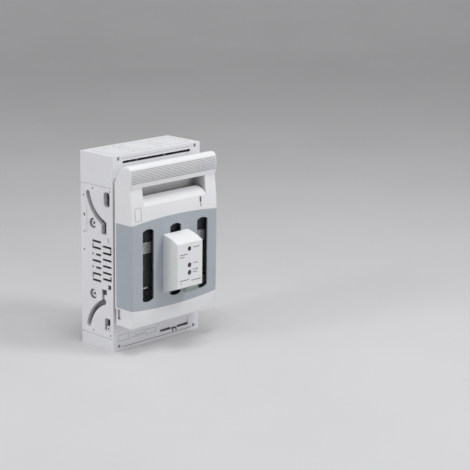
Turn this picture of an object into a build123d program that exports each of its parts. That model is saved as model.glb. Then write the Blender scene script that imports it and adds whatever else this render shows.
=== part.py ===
from build123d import *
import os

# A three-pole fuse switch disconnector for size 1 blade fuses, with a fuse monitor on its lid.
# The frame is millimetres: +X to the right, +Y to the rear, +Z up.
# The origin is the centre of the rear mounting holes, on the rear face.
# Fixed pieces: housing, terminal covers, contacts, terminals and arc splitters.
# The lid swings forward about two pins at its lower edge and carries the fuse links.

os.makedirs("parts", exist_ok=True)

# Body: three pole chambers between two side walls, under two terminal covers.
POLE_PITCH = 57.5
PARTITION = 3.0
SIDE_WALL = 7.25
BODY_DEPTH = 73.3
REAR_WALL = 5.0
BASE_HEIGHT = 236.0
TOP_COVER_HEIGHT = 49.5
BOTTOM_COVER_HEIGHT = 20.5
COVER_WALL = 2.5
COVER_LAP = 28.0
COVER_PLAY = 0.1
JOINT_GROOVE = 1.0
CHAMBER_MOUTH = 152.0

# Mounting holes and cover screws.
MOUNT_SPACING_X = 75.0
MOUNT_SPACING_Z = 200.0
MOUNT_HOLE_RADIUS = 3.5
COVER_SCREW_INSET_X = 11.7
COVER_SCREW_INSET_TOP = 4.5
COVER_SCREW_INSET_BOTTOM = 7.4
COVER_SCREW_RADIUS = 1.9
COVER_SCREW_LENGTH = 16.0

# Fuse links, measured from the body's front plane.
FUSE_WIDTH = 45.0
FUSE_DEPTH = 56.0
FUSE_LENGTH = 68.0
FUSE_PROUD = 29.0
FUSE_EDGE = 3.0
END_PLATE = 2.0
BLADE_THICKNESS = 6.0
BLADE_DEPTH = 20.0
BLADE_LENGTH = 31.5
BLADE_PLAY = 0.1
BLADE_PROUD = 5.0

# Contacts and terminals.
BAR_SETBACK = 29.0
BAR_THICKNESS = 5.0
BAR_WIDTH = 25.0
JAW_CLEARANCE = 7.0
JAW_LENGTH = 24.0
JAW_SHEET = 2.0
SPRING_SHEET = 1.2
SPRING_WIDTH = 12.0
RIVET_RADIUS = 3.0
BOLT_RADIUS = 5.0
BOLT_ACROSS_FLATS = 17.0
BOLT_HEAD = 6.5
BOLT_INSET = 14.0
WASHER_RADIUS = 10.0
WASHER_SHEET = 2.0
NUT_HEIGHT = 8.0
SPLITTER_COUNT = 5
SPLITTER_PITCH = 4.5
SPLITTER_SHEET = 1.0
SPLITTER_HEIGHT = 16.0
FIT = 0.02

# Lid.
LID_REVEAL = 1.0
LID_GAP = 3.5
LID_DEPTH = 38.0
LID_BOTTOM = 24.3
LID_WALL = 4.0
LID_CORNER = 4.0
LID_SKIRT_INSET = 2.0
LID_RIM = 2.2
FLUTE = (3.3, 10.0)
FLUTE_DEPTH = 3.4
PANEL_SHEET = 2.0
PANEL_CENTRE = 1.4
PANEL_EDGE_HEIGHT = 132.0
PANEL_MIDDLE_HEIGHT = 143.0
WINDOW_WIDTH = 23.0
WINDOW_HEIGHT = 114.0
WINDOW_CROWN = 3.5
PANE_SHEET = 1.5
PANE_LAP = 2.0
PANE_PLAY = 0.2
PANE_TRAVEL = 8.0
TEST_HOLE_RADIUS = 1.6
RAIL = 1.5
RAIL_LIP = 1.2
HINGE_SETBACK = 9.0
HINGE_RISE = 5.7
HINGE_EYE = 5.5
HINGE_PIN_RADIUS = 3.0
HINGE_PLAY = 0.05
EAR_THICKNESS = 5.5
EAR_PLAY = 0.3
BOSS_LENGTH = 2.7

# Handle, as heights above the mounting centre.
GRIP_WIDTH = 132.0
CHEEK_WALL = 3.5
DECK_HEIGHT = 93.5
DECK_RISE = 13.0
DECK_CROWN = 1.6
DECK_CORNER = 13.0
DECK_SHEET = 2.5
TROUGH_DEPTH = 14.0
GRIP_WALL_SETBACK = 6.7
FLAT_TOP = 67.5
WAIST_HEIGHT = 120.5
WAIST_SETBACK = 4.7
WAIST_RADIUS = 6.0
HANDLE_TOP = 157.1
RIB_COUNT = 9
RIB_PITCH = 2.35
RIB_START = 26.0
RIB_DEPTH = 1.2
RIB_REACH = 12.0

# Fuse monitor.
MONITOR_WIDTH = 53.0
MONITOR_SHIFT = 0.4
MONITOR_DEPTH = 31.5
MONITOR_BACK = (-47.0, 45.0)
MONITOR_FRONT = (-35.5, 34.0)
MONITOR_WALL = 2.0
BOARD_STANDOFF = 9.6
BOARD_WIDTH = 44.0
BOARD_HEIGHT = 62.0
BOARD_SHEET = 1.6
LED_RADIUS = 2.4
BUTTON_RADIUS = 2.2
BUTTON_TRAVEL = 1.0

# Places that follow from the sizes above.
POLES = [-POLE_PITCH, 0.0, POLE_PITCH]
CHAMBER = (POLE_PITCH - PARTITION) / 2
HALF_WIDTH = POLE_PITCH + CHAMBER + SIDE_WALL
FRONT = -BODY_DEPTH
BASE_TOP = BASE_HEIGHT / 2
BODY_TOP = BASE_TOP + TOP_COVER_HEIGHT
BODY_BOTTOM = -BASE_TOP - BOTTOM_COVER_HEIGHT
LAP_START = BASE_TOP - COVER_LAP
SCREW_X = HALF_WIDTH - COVER_SCREW_INSET_X
BAR_FRONT = FRONT + BAR_SETBACK
BAR_REAR = BAR_FRONT + BAR_THICKNESS
FUSE_FRONT = FRONT - FUSE_PROUD
FUSE_END = FUSE_LENGTH / 2 + END_PLATE
BLADE_TIP = FUSE_END + BLADE_LENGTH
JAW_START = FUSE_END + JAW_CLEARANCE
JAW_END = JAW_START + JAW_LENGTH
BAR_START = JAW_START - 2.0
BAR_END = BASE_TOP - 2.0
BOLT_Z = BASE_TOP - BOLT_INSET
LID_REAR = FRONT - LID_GAP
LID_FRONT = LID_REAR - LID_DEPTH
LID_HALF = HALF_WIDTH - LID_REVEAL
LID_LOW = -BASE_TOP + LID_BOTTOM
HINGE_Y = FRONT - HINGE_SETBACK
HINGE_Z = LID_LOW + HINGE_RISE
SKIRT_HALF = LID_HALF - LID_SKIRT_INSET
SKIRT_TOP = PANEL_CENTRE - PANEL_EDGE_HEIGHT / 2 - LID_RIM
SPAN = 400.0


def block(x, y, z):
    """A box between the low and high values of each direction."""
    spans = (x, y, z)
    size = [high - low for low, high in spans]
    centre = [(high + low) / 2 for low, high in spans]
    return Pos(*centre) * Box(*size)


def rod(radius, y_low, y_high, x=0.0, z=0.0):
    """A round bar that runs from front to rear."""
    length = y_high - y_low
    return Pos(x, (y_low + y_high) / 2, z) * Rot(90, 0, 0) * Cylinder(radius, length)


def cross_rod(radius, x_low, x_high, y, z):
    """A round bar that runs from left to right."""
    return Pos((x_low + x_high) / 2, y, z) * Rot(0, 90, 0) * Cylinder(radius, x_high - x_low)


def hexagon(across_flats, y_low, y_high, x, z):
    """A hexagonal prism that runs from front to rear."""
    outline = RegularPolygon(across_flats / 2, 6, major_radius=False)
    prism = extrude(Plane.XZ * outline, amount=y_high - y_low)
    return Pos(x, y_high, z) * prism


def side_prism(sketch, x_low, x_high):
    """A side view, drawn as (y, z), carried from x_low to x_high."""
    return Pos(x_low, 0, 0) * extrude(Plane.YZ * sketch, amount=x_high - x_low)


def front_prism(sketch, y_low, y_high):
    """A front view, drawn as (x, z), carried from y_low to y_high."""
    return Pos(0, y_high, 0) * extrude(Plane.XZ * sketch, amount=y_high - y_low)


def polygon(*points):
    """A flat outline through the points, in their own coordinates."""
    return make_face(Polyline(*points, close=True))


def drawn_in(sketch, amount):
    """An outline of lines and arcs, moved inwards and drawn afresh without its shortest pieces."""
    wire = offset(sketch, amount=-amount).face().outer_wire()
    edges = [edge for edge in wire.order_edges() if edge.length > amount / 50]
    starts = [edge @ 0 for edge in edges]
    lines = Curve()
    for edge, start, end in zip(edges, starts, starts[1:] + starts[:1]):
        if edge.geom_type == GeomType.LINE:
            lines += Line(start, end)
        else:
            lines += ThreePointArc(start, edge @ 0.5, end)
    return make_face(lines)


def both_sides(shape):
    """The shape and its mirror image across the middle plane."""
    return shape + mirror(shape, about=Plane.YZ)


def upside_down(shape):
    """The shape mirrored from the upper half to the lower half."""
    return mirror(shape, about=Plane.XY)


def save(shape, name):
    """Write one piece to its own file."""
    export_step(shape, f"parts/{name}.step")


def save_group(shapes, name):
    """Write like pieces, kept apart, to one file."""
    export_step(Compound(children=list(shapes)), f"parts/{name}.step")


# Base housing

CHANNEL_WIDTH = 9.0
VENT_PITCH = 10.3
VENT_HEIGHT = 3.7
VENT_LENGTH = 20.0
VENT_HOOK = 2.8
RING_RADIUS = 8.0
RING_RECESS = 3.2
RING_GROOVE = 6.2
PIN_HOLE_RADIUS = 1.3
PIN_HOLE_DEPTH = 4.0
VENT_SKIN = 2.5
THROUGH = SIDE_WALL + 1.0
PEDESTAL_HALF = 15.0
PEDESTAL_START = FUSE_END + 2.0
POCKET_HALF = 12.0
POCKET_DEPTH = -BAR_REAR - 12.3


def wall_cut(sketch, depth):
    """A cut into the right side wall; the sketch is (distance behind the front plane, z)."""
    placed = Pos(FRONT, 0) * sketch
    return side_prism(placed, HALF_WIDTH - depth, HALF_WIDTH + 1.0)


def span_block(y, z):
    """A rectangle on the side wall between two distances and two heights."""
    middle = ((y[0] + y[1]) / 2, (z[0] + z[1]) / 2)
    return Pos(*middle) * Rectangle(y[1] - y[0], z[1] - z[0])


def side_channels():
    """The curved channels, each from a round rear end to an upright slot near the front."""
    sweep = SlotArc(ThreePointArc((56.6, 104.0), (46.2, 81.6), (20.5, 62.0)), CHANNEL_WIDTH)
    upper = sweep + span_block((14.4, 25.8), (44.7, 64.5))
    lower = mirror(sweep, about=Plane.XZ)
    lower += span_block((20.0, 25.4), (-62.0, -49.0))
    lower += span_block((14.4, 25.8), (-50.6, -42.2))
    return [wall_cut(upper, THROUGH), wall_cut(lower, THROUGH)]


def side_vents():
    """Two staggered columns of gas vents; some are bridged and some end in a hook."""
    rear = (27.3, 27.3 + VENT_LENGTH)
    front = (3.4, 3.4 + VENT_LENGTH)
    half = VENT_HEIGHT / 2
    vents = []
    for row in range(-3, 4):
        z = row * VENT_PITCH
        if abs(row) == 1:
            vents.append(span_block((rear[0], rear[0] + 12.0), (z - half, z + half)))
            vents.append(span_block((rear[1] - VENT_HOOK, rear[1]), (z - half, z + half)))
        else:
            vents.append(span_block(rear, (z - half, z + half)))
    for row in range(-3, 3):
        z = (row + 0.5) * VENT_PITCH
        vents.append(span_block(front, (z - half, z + half)))
    rear_hook = (rear[1] - VENT_HOOK, rear[1])
    front_hook = (front[0], front[0] + VENT_HOOK)
    row_two = 2 * VENT_PITCH
    vents.append(span_block(rear_hook, (row_two, row_two + 6.5)))
    vents.append(span_block(rear_hook, (-row_two - 6.5, -row_two)))
    vents.append(span_block(front_hook, (1.5 * VENT_PITCH, 2.5 * VENT_PITCH)))
    vents.append(span_block(front_hook, (-2.5 * VENT_PITCH, -2.5 * VENT_PITCH + 6.5)))
    return [wall_cut(Sketch() + vents, THROUGH)]


def side_pockets():
    """Oblong openings and the small square one."""
    upper = Pos(13.5, 99.7) * RectangleRounded(13.3, 23.4, 5.0)
    lower = Pos(13.1, -97.0) * RectangleRounded(12.6, 20.0, 2.5)
    square = Pos(8.1, -36.8) * Rectangle(7.4, 7.1)
    return [wall_cut(sketch, THROUGH) for sketch in (upper, lower, square)]


def side_rings():
    """Two sunk ring bosses with a hole through the middle."""
    cuts = []
    for z in (58.3, -54.0):
        place = Pos(45.9, z)
        cuts.append(wall_cut(place * Circle(RING_RADIUS), RING_RECESS))
        cuts.append(wall_cut(place * (Circle(RING_RADIUS) - Circle(RING_RADIUS - 2.4)), RING_GROOVE))
        cuts.append(wall_cut(place * Circle(2.4), THROUGH))
    return cuts


def vent_reliefs():
    """Hollows inside the right side wall that leave a thin skin around the vents and slots."""
    x = (HALF_WIDTH - SIDE_WALL - 1.0, HALF_WIDTH - VENT_SKIN)
    front = FRONT + COVER_WALL
    return [
        block(x, (front, FRONT + 50.0), (-35.0, 35.0)),
        block(x, (front, FRONT + 30.0), (-52.0, -34.0)),
    ]


def side_marks():
    """Pin holes, an oval hole, a scribed line and a small angle mark."""
    places = [
        (66.6, 99.2),
        (45.8, 112.9),
        (64.8, 42.5),
        (65.7, 13.6),
        (6.3, 112.9),
        (46.2, -112.5),
        (6.7, -113.4),
    ]
    cuts = [wall_cut(Pos(*place) * Circle(PIN_HOLE_RADIUS), PIN_HOLE_DEPTH) for place in places]
    cuts.append(wall_cut(Pos(65.6, 68.8) * Rot(0, 0, 60) * SlotOverall(5.5, 3.2), PIN_HOLE_DEPTH))
    cuts.append(wall_cut(span_block((59.0, 59.8), (41.0, 79.4)), 0.5))
    angle = span_block((9.9, 11.3), (34.4, 40.6)) + span_block((7.1, 11.3), (33.7, 35.1))
    cuts.append(wall_cut(angle, 1.0))
    return cuts


def pocket_boss():
    """The screw boss at the foot of the lower oblong opening."""
    ring = Pos(12.8, -103.2) * (Circle(4.2) - Circle(1.7))
    return side_prism(Pos(FRONT, 0) * ring, HALF_WIDTH - SIDE_WALL, HALF_WIDTH - 1.5)


def pedestal(x):
    """The block in the upper half of a chamber that carries its contact, hollow from behind."""
    body = block(
        (x - PEDESTAL_HALF, x + PEDESTAL_HALF),
        (BAR_REAR, -REAR_WALL),
        (PEDESTAL_START, BASE_TOP),
    )
    return body - rod(BOLT_ACROSS_FLATS * 0.6, BAR_REAR - 1.0, BAR_REAR + NUT_HEIGHT + 0.5, x, BOLT_Z)


def pedestal_pockets(x):
    """Two rear pockets with a rib between them."""
    wall = PEDESTAL_HALF - POCKET_HALF
    low = PEDESTAL_START + wall
    high = BASE_TOP - wall
    middle = (low + high) / 2
    width = (x - POCKET_HALF, x + POCKET_HALF)
    depth = (-POCKET_DEPTH, 1.0)
    return [
        block(width, depth, (low, middle - wall / 2)),
        block(width, depth, (middle + wall / 2, high)),
    ]


def hinge_ear():
    """The right-hand ear with the bore for the lid's hinge pin."""
    x_high = LID_HALF - LID_WALL - BOSS_LENGTH - EAR_PLAY
    x_low = x_high - EAR_THICKNESS
    eye = cross_rod(HINGE_EYE, x_low, x_high, HINGE_Y, HINGE_Z)
    neck = block((x_low, x_high), (HINGE_Y, FRONT), (HINGE_Z - HINGE_EYE, HINGE_Z + HINGE_EYE))
    bore = cross_rod(HINGE_PIN_RADIUS + HINGE_PLAY, x_low - 1, x_high + 1, HINGE_Y, HINGE_Z)
    return eye + neck - bore


def screw_post(z):
    """A post from the rear wall that takes a cover screw, flat towards the cover's end wall."""
    radius = 4.5
    post = rod(radius, FRONT + COVER_WALL, -REAR_WALL + 0.5, SCREW_X, z)
    post -= rod(COVER_SCREW_RADIUS + FIT, FRONT, FRONT + COVER_SCREW_LENGTH + 3.0, SCREW_X, z)
    low = BODY_BOTTOM + COVER_WALL + COVER_PLAY
    high = BODY_TOP - COVER_WALL - COVER_PLAY
    return post & block((0, SPAN), (-SPAN, SPAN), (low, high))


def base_housing():
    inner = HALF_WIDTH - COVER_WALL - COVER_PLAY
    body = block((-HALF_WIDTH, HALF_WIDTH), (FRONT, 0), (-BASE_TOP, BASE_TOP))
    rear = block(
        (-inner, inner),
        (-REAR_WALL, 0),
        (BODY_BOTTOM + COVER_WALL + COVER_PLAY, BODY_TOP - COVER_WALL - COVER_PLAY),
    )
    body += rear
    plate_rear = FRONT + COVER_WALL
    for x in POLES:
        chamber = (x - CHAMBER, x + CHAMBER)
        mouth = CHAMBER_MOUTH / 2
        body -= block(chamber, (plate_rear, -REAR_WALL), (-BASE_TOP - 1, BASE_TOP + 1))
        body -= block(chamber, (FRONT - 1, plate_rear), (-mouth, mouth))
    lap = block((-SPAN, SPAN), (FRONT - 1, plate_rear), (LAP_START, BASE_TOP + 1))
    body -= [lap, upside_down(lap)]
    for x in POLES:
        raised = pedestal(x)
        body += [raised, upside_down(raised)]
    for x in POLES:
        for pocket in pedestal_pockets(x):
            body -= [pocket, upside_down(pocket)]
    posts = screw_post(BODY_TOP - COVER_SCREW_INSET_TOP)
    posts += screw_post(BODY_BOTTOM + COVER_SCREW_INSET_BOTTOM)
    body += both_sides(posts + hinge_ear())
    cuts = side_channels() + side_vents() + side_pockets() + side_rings() + side_marks()
    cuts += vent_reliefs()
    body -= cuts
    body -= [mirror(cut, about=Plane.YZ) for cut in cuts]
    body += both_sides(pocket_boss())
    for x in (-MOUNT_SPACING_X / 2, MOUNT_SPACING_X / 2):
        for z in (-MOUNT_SPACING_Z / 2, MOUNT_SPACING_Z / 2):
            body -= rod(MOUNT_HOLE_RADIUS, -REAR_WALL - 1, 1.0, x, z)
    return body


# Terminal covers

SLOT_WIDTH = 143.0
SLOT_HEIGHT = 4.0
SLOT_INSET = 11.0
SLOT_CLEAR = 12.0
ENTRY_WIDTH = 46.0
ENTRY_DEPTH = 50.0
SCORE = 0.6
ENTRY_SCORE = 1.0


def score_frame(x, z_low, z_high):
    """A scored rectangle around one cable entry."""
    outline = Rectangle(ENTRY_WIDTH, ENTRY_DEPTH) - Rectangle(
        ENTRY_WIDTH - 2 * ENTRY_SCORE, ENTRY_DEPTH - 2 * ENTRY_SCORE
    )
    return Pos(x, FRONT / 2, z_low) * extrude(outline, amount=z_high - z_low)


def cover_screw_hole(z):
    """A clearance hole with a wider mouth for the screw's head, on both sides."""
    hole = rod(COVER_SCREW_RADIUS + 0.2, FRONT - 1, FRONT + 4, SCREW_X, z)
    mouth = rod(2.9, FRONT - 1, FRONT + 1.3, SCREW_X, z)
    return both_sides(hole + mouth)


def hood(height, lap, web_front):
    """A cover shell with its end wall on top, open at the rear and below."""
    low = BASE_TOP
    high = BASE_TOP + height
    inner = HALF_WIDTH - COVER_WALL
    shell = block((-HALF_WIDTH, HALF_WIDTH), (FRONT, 0), (low, high))
    shell -= block((-inner, inner), (FRONT + COVER_WALL, 1), (low - 1, high - COVER_WALL))
    plate = block((-HALF_WIDTH, HALF_WIDTH), (FRONT, FRONT + COVER_WALL), (low - lap, low))
    for x in (-POLE_PITCH / 2, POLE_PITCH / 2):
        shell += block(
            (x - PARTITION / 2, x + PARTITION / 2),
            (web_front, -REAR_WALL - COVER_PLAY),
            (low, high - COVER_WALL),
        )
    outer = HALF_WIDTH - COVER_WALL / 2
    rebate = block((outer, SPAN), (FRONT - 1, 1), (low - 1, low + JOINT_GROOVE))
    rebate -= block((0, SPAN), (FRONT - 1, FRONT + COVER_WALL), (low - 2, low + 2))
    return shell + plate - both_sides(rebate)


def top_terminal_cover():
    cover = hood(TOP_COVER_HEIGHT, COVER_LAP, FRONT + COVER_WALL + SLOT_CLEAR)
    slot_z = BODY_TOP - SLOT_INSET
    slot = Pos(0, slot_z) * SlotOverall(SLOT_WIDTH, SLOT_HEIGHT)
    slot += Pos(SLOT_WIDTH / 2 - SLOT_HEIGHT, slot_z) * Circle(0.7 * SLOT_HEIGHT)
    cover -= front_prism(slot, FRONT - 1, FRONT + COVER_WALL + 0.5)
    mark = SLOT_WIDTH / 2 - 8.5
    cover -= block((mark, mark + 0.9), (FRONT - 1, FRONT + SCORE), (slot_z - 10.0, slot_z - 3.0))
    for x in POLES:
        cover -= score_frame(x, BODY_TOP - ENTRY_SCORE, BODY_TOP + 1)
    cover -= cover_screw_hole(BODY_TOP - COVER_SCREW_INSET_TOP)
    groove = SCREW_X - 6.0
    cover -= block((-groove, groove), (FRONT - 1, FRONT + SCORE), (BODY_TOP - 5.5, BODY_TOP - 4.5))
    return cover


SNAP_LOW = BODY_BOTTOM + 10.8
SNAP_HIGH = SNAP_LOW + 3.5
SNAP_SPAN = (6.7, 68.3)
SNAP_TAB = (33.0, 43.4)
SNAP_PAD = FRONT + 8.0


def snap_pad():
    """The thicker place behind the two blind snap slots."""
    x = (SNAP_SPAN[0] - 1.5, SNAP_SPAN[1] + 1.5)
    return block(x, (FRONT + 1.0, SNAP_PAD), (SNAP_LOW - 1.5, SNAP_HIGH + 1.5))


def snap_slots():
    """Two blind slots with an open snap tab between them, at the foot of a sloping recess."""
    deep = (FRONT - 1, SNAP_PAD - 1.0)
    through = (FRONT - 1, SNAP_PAD + 1.0)
    tab_low = SNAP_LOW - 4.0
    tongue = block((36.0, 40.5), through, (tab_low - 1, SNAP_LOW - 0.5))
    slots = [
        block((SNAP_SPAN[0], SNAP_TAB[0] - 2.0), deep, (SNAP_LOW, SNAP_HIGH)),
        block((SNAP_TAB[1] + 2.0, SNAP_SPAN[1]), deep, (SNAP_LOW, SNAP_HIGH)),
        block(SNAP_TAB, through, (tab_low, SNAP_HIGH - 1.5)) - tongue,
    ]
    tip = SNAP_HIGH + 13.7
    start = FRONT - 0.1
    slope = polygon((start, SNAP_LOW), (FRONT + 2.1, SNAP_LOW), (FRONT + 0.3, tip), (start, tip))
    return slots + [side_prism(slope, *SNAP_SPAN)]


def label_fields():
    """Bare rectangular fields, outlined by a shallow groove, and two ejector marks."""
    fields = [
        ((-81.5, -59.0), (-123.5, -113.2)),
        ((-46.0, -27.3), (-120.0, -114.6)),
        ((-25.0, -1.6), (-124.0, -116.0)),
    ]
    cuts = []
    for (left, right), (low, high) in fields:
        outline = Rectangle(right - left, high - low) - Rectangle(
            right - left - 2 * SCORE, high - low - 2 * SCORE
        )
        place = Pos((left + right) / 2, (low + high) / 2)
        cuts.append(front_prism(place * outline, FRONT - 1, FRONT + SCORE))
    for place in ((-52.7, -114.6), (1.7, -113.6)):
        cuts.append(rod(1.8, FRONT - 1, FRONT + SCORE, *place))
    cuts.append(block((-54.7, -27.3), (FRONT - 1, FRONT + SCORE), (-122.4, -121.8)))
    return cuts


def bottom_terminal_cover():
    cover = upside_down(hood(BOTTOM_COVER_HEIGHT, COVER_LAP, FRONT + COVER_WALL + SLOT_CLEAR))
    for x in POLES:
        cover -= score_frame(x, BODY_BOTTOM - 1, BODY_BOTTOM + ENTRY_SCORE)
    cover -= cover_screw_hole(BODY_BOTTOM + COVER_SCREW_INSET_BOTTOM)
    cover += snap_pad()
    cover -= snap_slots()
    cover -= label_fields()
    groove = SCREW_X - 6.0
    cover -= block(
        (-groove, groove), (FRONT - 1, FRONT + 2 * SCORE), (BODY_BOTTOM + 4.6, BODY_BOTTOM + 5.8)
    )
    return cover


def cover_screws():
    """Four pan-head screws, sunk in the covers' corners."""
    screws = []
    for z in (BODY_TOP - COVER_SCREW_INSET_TOP, BODY_BOTTOM + COVER_SCREW_INSET_BOTTOM):
        for x in (-SCREW_X, SCREW_X):
            head = rod(2.7, FRONT + 0.3, FRONT + 1.3, x, z)
            shank = rod(COVER_SCREW_RADIUS, FRONT + 1.3, FRONT + COVER_SCREW_LENGTH, x, z)
            drive = block((x - 0.5, x + 0.5), (FRONT, FRONT + 0.9), (z - 1.8, z + 1.8))
            screws.append(head + shank - drive)
    return screws


# Contacts and terminals, drawn for an upper contact

SPRING_FRONT = BAR_FRONT - SPRING_SHEET
JAW_BASE_FRONT = SPRING_FRONT - JAW_SHEET
JAW_GRIP = BLADE_THICKNESS / 2 + BLADE_PLAY
GRIP_Y = (FRONT + 7.3, FRONT + 11.3)
JAW_TIP = FRONT - 3.7
JAW_BELLY = JAW_BASE_FRONT - 4.5
JAW_BASE_HALF = 9.0
JAW_BELLY_HALF = 8.5
RIVET_Z = (JAW_START + JAW_END) / 2


def leaf(points, thickness):
    """One bent strip in plan, given the inner face as (x, y) points, with its twin."""
    outer = [(x + thickness, y) for x, y in reversed(points)]
    strip = polygon(*points, *outer)
    return strip + mirror(strip, about=Plane.YZ)


def contact_jaw(x):
    plan = leaf(
        [
            (JAW_BASE_HALF - JAW_SHEET, SPRING_FRONT),
            (JAW_BELLY_HALF, JAW_BELLY),
            (JAW_GRIP, GRIP_Y[1]),
            (JAW_GRIP, GRIP_Y[0]),
            (JAW_GRIP + 3.4, JAW_TIP),
        ],
        JAW_SHEET,
    )
    middle = (SPRING_FRONT + JAW_BASE_FRONT) / 2
    plan += Pos(0, middle) * Rectangle(2 * JAW_BASE_HALF - JAW_SHEET, JAW_SHEET)
    jaw = Pos(x, 0, JAW_START) * extrude(plan, amount=JAW_LENGTH)
    return jaw - rod(RIVET_RADIUS + FIT, JAW_BASE_FRONT - 1, SPRING_FRONT + 1, x, RIVET_Z)


def jaw_spring(x):
    root = JAW_BELLY_HALF + JAW_SHEET + 0.3
    touch = JAW_GRIP + JAW_SHEET
    plan = leaf(
        [(root, BAR_FRONT), (root, JAW_BELLY), (touch, GRIP_Y[0] + 2.0), (touch, GRIP_Y[0])],
        SPRING_SHEET,
    )
    middle = (BAR_FRONT + SPRING_FRONT) / 2
    plan += Pos(0, middle) * Rectangle(2 * root + SPRING_SHEET, SPRING_SHEET)
    low = RIVET_Z - SPRING_WIDTH / 2
    spring = Pos(x, 0, low) * extrude(plan, amount=SPRING_WIDTH)
    return spring - rod(RIVET_RADIUS + FIT, SPRING_FRONT - 1, BAR_FRONT + 1, x, RIVET_Z)


def terminal_bar(x):
    half = BAR_WIDTH / 2
    bar = block((x - half, x + half), (BAR_FRONT, BAR_REAR), (BAR_START, BAR_END))
    bar -= rod(RIVET_RADIUS + FIT, BAR_FRONT - 1, BAR_REAR + 1, x, RIVET_Z)
    return bar - rod(BOLT_RADIUS + 0.1, BAR_FRONT - 1, BAR_REAR + 1, x, BOLT_Z)


def contact_rivet(x):
    shank = rod(RIVET_RADIUS, JAW_BASE_FRONT, BAR_REAR, x, RIVET_Z)
    return shank + rod(RIVET_RADIUS + 1.5, JAW_BASE_FRONT - 2.0, JAW_BASE_FRONT, x, RIVET_Z)


def terminal_bolt(x):
    """A hexagon bolt with its washer; the shank ends inside the nut."""
    head_rear = BAR_FRONT - WASHER_SHEET
    washer = rod(WASHER_RADIUS, head_rear, BAR_FRONT, x, BOLT_Z)
    head = hexagon(BOLT_ACROSS_FLATS, head_rear - BOLT_HEAD, head_rear, x, BOLT_Z)
    return washer + head + rod(BOLT_RADIUS, BAR_FRONT, BAR_REAR + NUT_HEIGHT - 0.5, x, BOLT_Z)


def terminal_nut(x):
    nut = hexagon(BOLT_ACROSS_FLATS, BAR_REAR, BAR_REAR + NUT_HEIGHT, x, BOLT_Z)
    return nut - rod(BOLT_RADIUS + FIT, BAR_REAR - 1, BAR_REAR + NUT_HEIGHT + 1, x, BOLT_Z)


def splitter_plates(x):
    """Steel plates across the chamber beyond the blade's tip, notched towards the contact."""
    low = BLADE_TIP + 3.5
    high = low + SPLITTER_HEIGHT
    outline = polygon(
        (-CHAMBER, low), (-6.0, low), (0, low + 8.0), (6.0, low), (CHAMBER, low),
        (CHAMBER, high), (-CHAMBER, high),
    )
    first = FRONT + COVER_WALL + 1.3
    plates = []
    for index in range(SPLITTER_COUNT):
        y = first + index * SPLITTER_PITCH
        plates.append(Pos(x, 0, 0) * front_prism(outline, y, y + SPLITTER_SHEET))
    return plates


# Lid

def lid_profile(inset):
    """Side view of the lid as (y, z), drawn in by an inset: flat front and the handle's nose."""
    toe = (WAIST_SETBACK, LID_LOW)
    flat_low = (0.0, LID_LOW + 43.0)
    flat_high = (0.0, FLAT_TOP)
    waist = (WAIST_SETBACK, WAIST_HEIGHT)
    brow = (2.3, HANDLE_TOP - 6.6)
    crown = (10.3, HANDLE_TOP)
    shoulder = (LID_DEPTH - 8.7, HANDLE_TOP - 11.1)
    nape = (LID_DEPTH, HANDLE_TOP - 24.0)
    heel = (LID_DEPTH, LID_LOW)
    nose = TangentArc(crown, brow, tangent=(-1, 0))
    back = TangentArc(crown, shoulder, tangent=(1, 0))
    lines = Curve() + [
        Line(heel, toe),
        TangentArc(flat_low, toe, tangent=(0, -1)),
        Line(flat_low, flat_high),
        TangentArc(flat_high, waist, tangent=(0, 1)),
        TangentArc(brow, waist, tangent=nose % 1),
        nose,
        back,
        TangentArc(shoulder, nape, tangent=back % 1),
        Line(nape, heel),
    ]
    face = make_face(lines)
    throat = [
        corner
        for corner in face.vertices()
        if abs(corner.X - waist[0]) < 0.01 and abs(corner.Y - waist[1]) < 0.01
    ]
    face = fillet(throat, WAIST_RADIUS)
    if inset:
        face = drawn_in(face, inset)
    return Pos(LID_FRONT, 0) * face


def lid_solid(inset, corner):
    """The lid's full form, drawn in by an inset, with rounded front corners."""
    half = LID_HALF - inset
    solid = side_prism(lid_profile(inset), -half, half)
    if corner:
        limit = LID_REAR - 20.0
        edges = [
            edge
            for edge in solid.edges()
            if abs(abs(edge.center().X) - half) < 0.01 and edge.center().Y < limit
            and edge.center().Z > LID_LOW + inset + 1.0
        ]
        solid = fillet(edges, corner)
    return solid


def panel_outline():
    """Front view of the grey panel as (x, z): straight sides, arched top and bottom."""
    edge = PANEL_EDGE_HEIGHT / 2
    middle = PANEL_MIDDLE_HEIGHT / 2
    half = LID_HALF + 1.0
    low = PANEL_CENTRE - edge
    high = PANEL_CENTRE + edge
    lines = Curve() + [
        Line((-half, high), (-half, low)),
        ThreePointArc((-half, low), (0, PANEL_CENTRE - middle), (half, low)),
        Line((half, low), (half, high)),
        ThreePointArc((half, high), (0, PANEL_CENTRE + middle), (-half, high)),
    ]
    return make_face(lines)


def window_outline(x):
    """Front view of one window as (x, z), with arched ends."""
    half = WINDOW_WIDTH / 2
    side = WINDOW_HEIGHT / 2 - WINDOW_CROWN
    tip = WINDOW_HEIGHT / 2
    low = PANEL_CENTRE - side
    high = PANEL_CENTRE + side
    lines = Curve() + [
        Line((x - half, high), (x - half, low)),
        ThreePointArc((x - half, low), (x, PANEL_CENTRE - tip), (x + half, low)),
        Line((x + half, low), (x + half, high)),
        ThreePointArc((x + half, high), (x, PANEL_CENTRE + tip), (x - half, high)),
    ]
    return make_face(lines)


def windows_cut():
    """The three window openings, cut from front to rear."""
    return [front_prism(window_outline(x), LID_FRONT - 2, LID_FRONT + LID_WALL + 1) for x in POLES]


def panel_region():
    """The grey panel before its windows are cut."""
    skin = LID_OUTER - lid_solid(PANEL_SHEET, 0.0)
    band = front_prism(panel_outline(), LID_FRONT - 5, LID_REAR - PANEL_SHEET - 0.6)
    return skin & band


LID_OUTER = lid_solid(0.0, LID_CORNER)
PANEL_REGION = panel_region()


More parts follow.
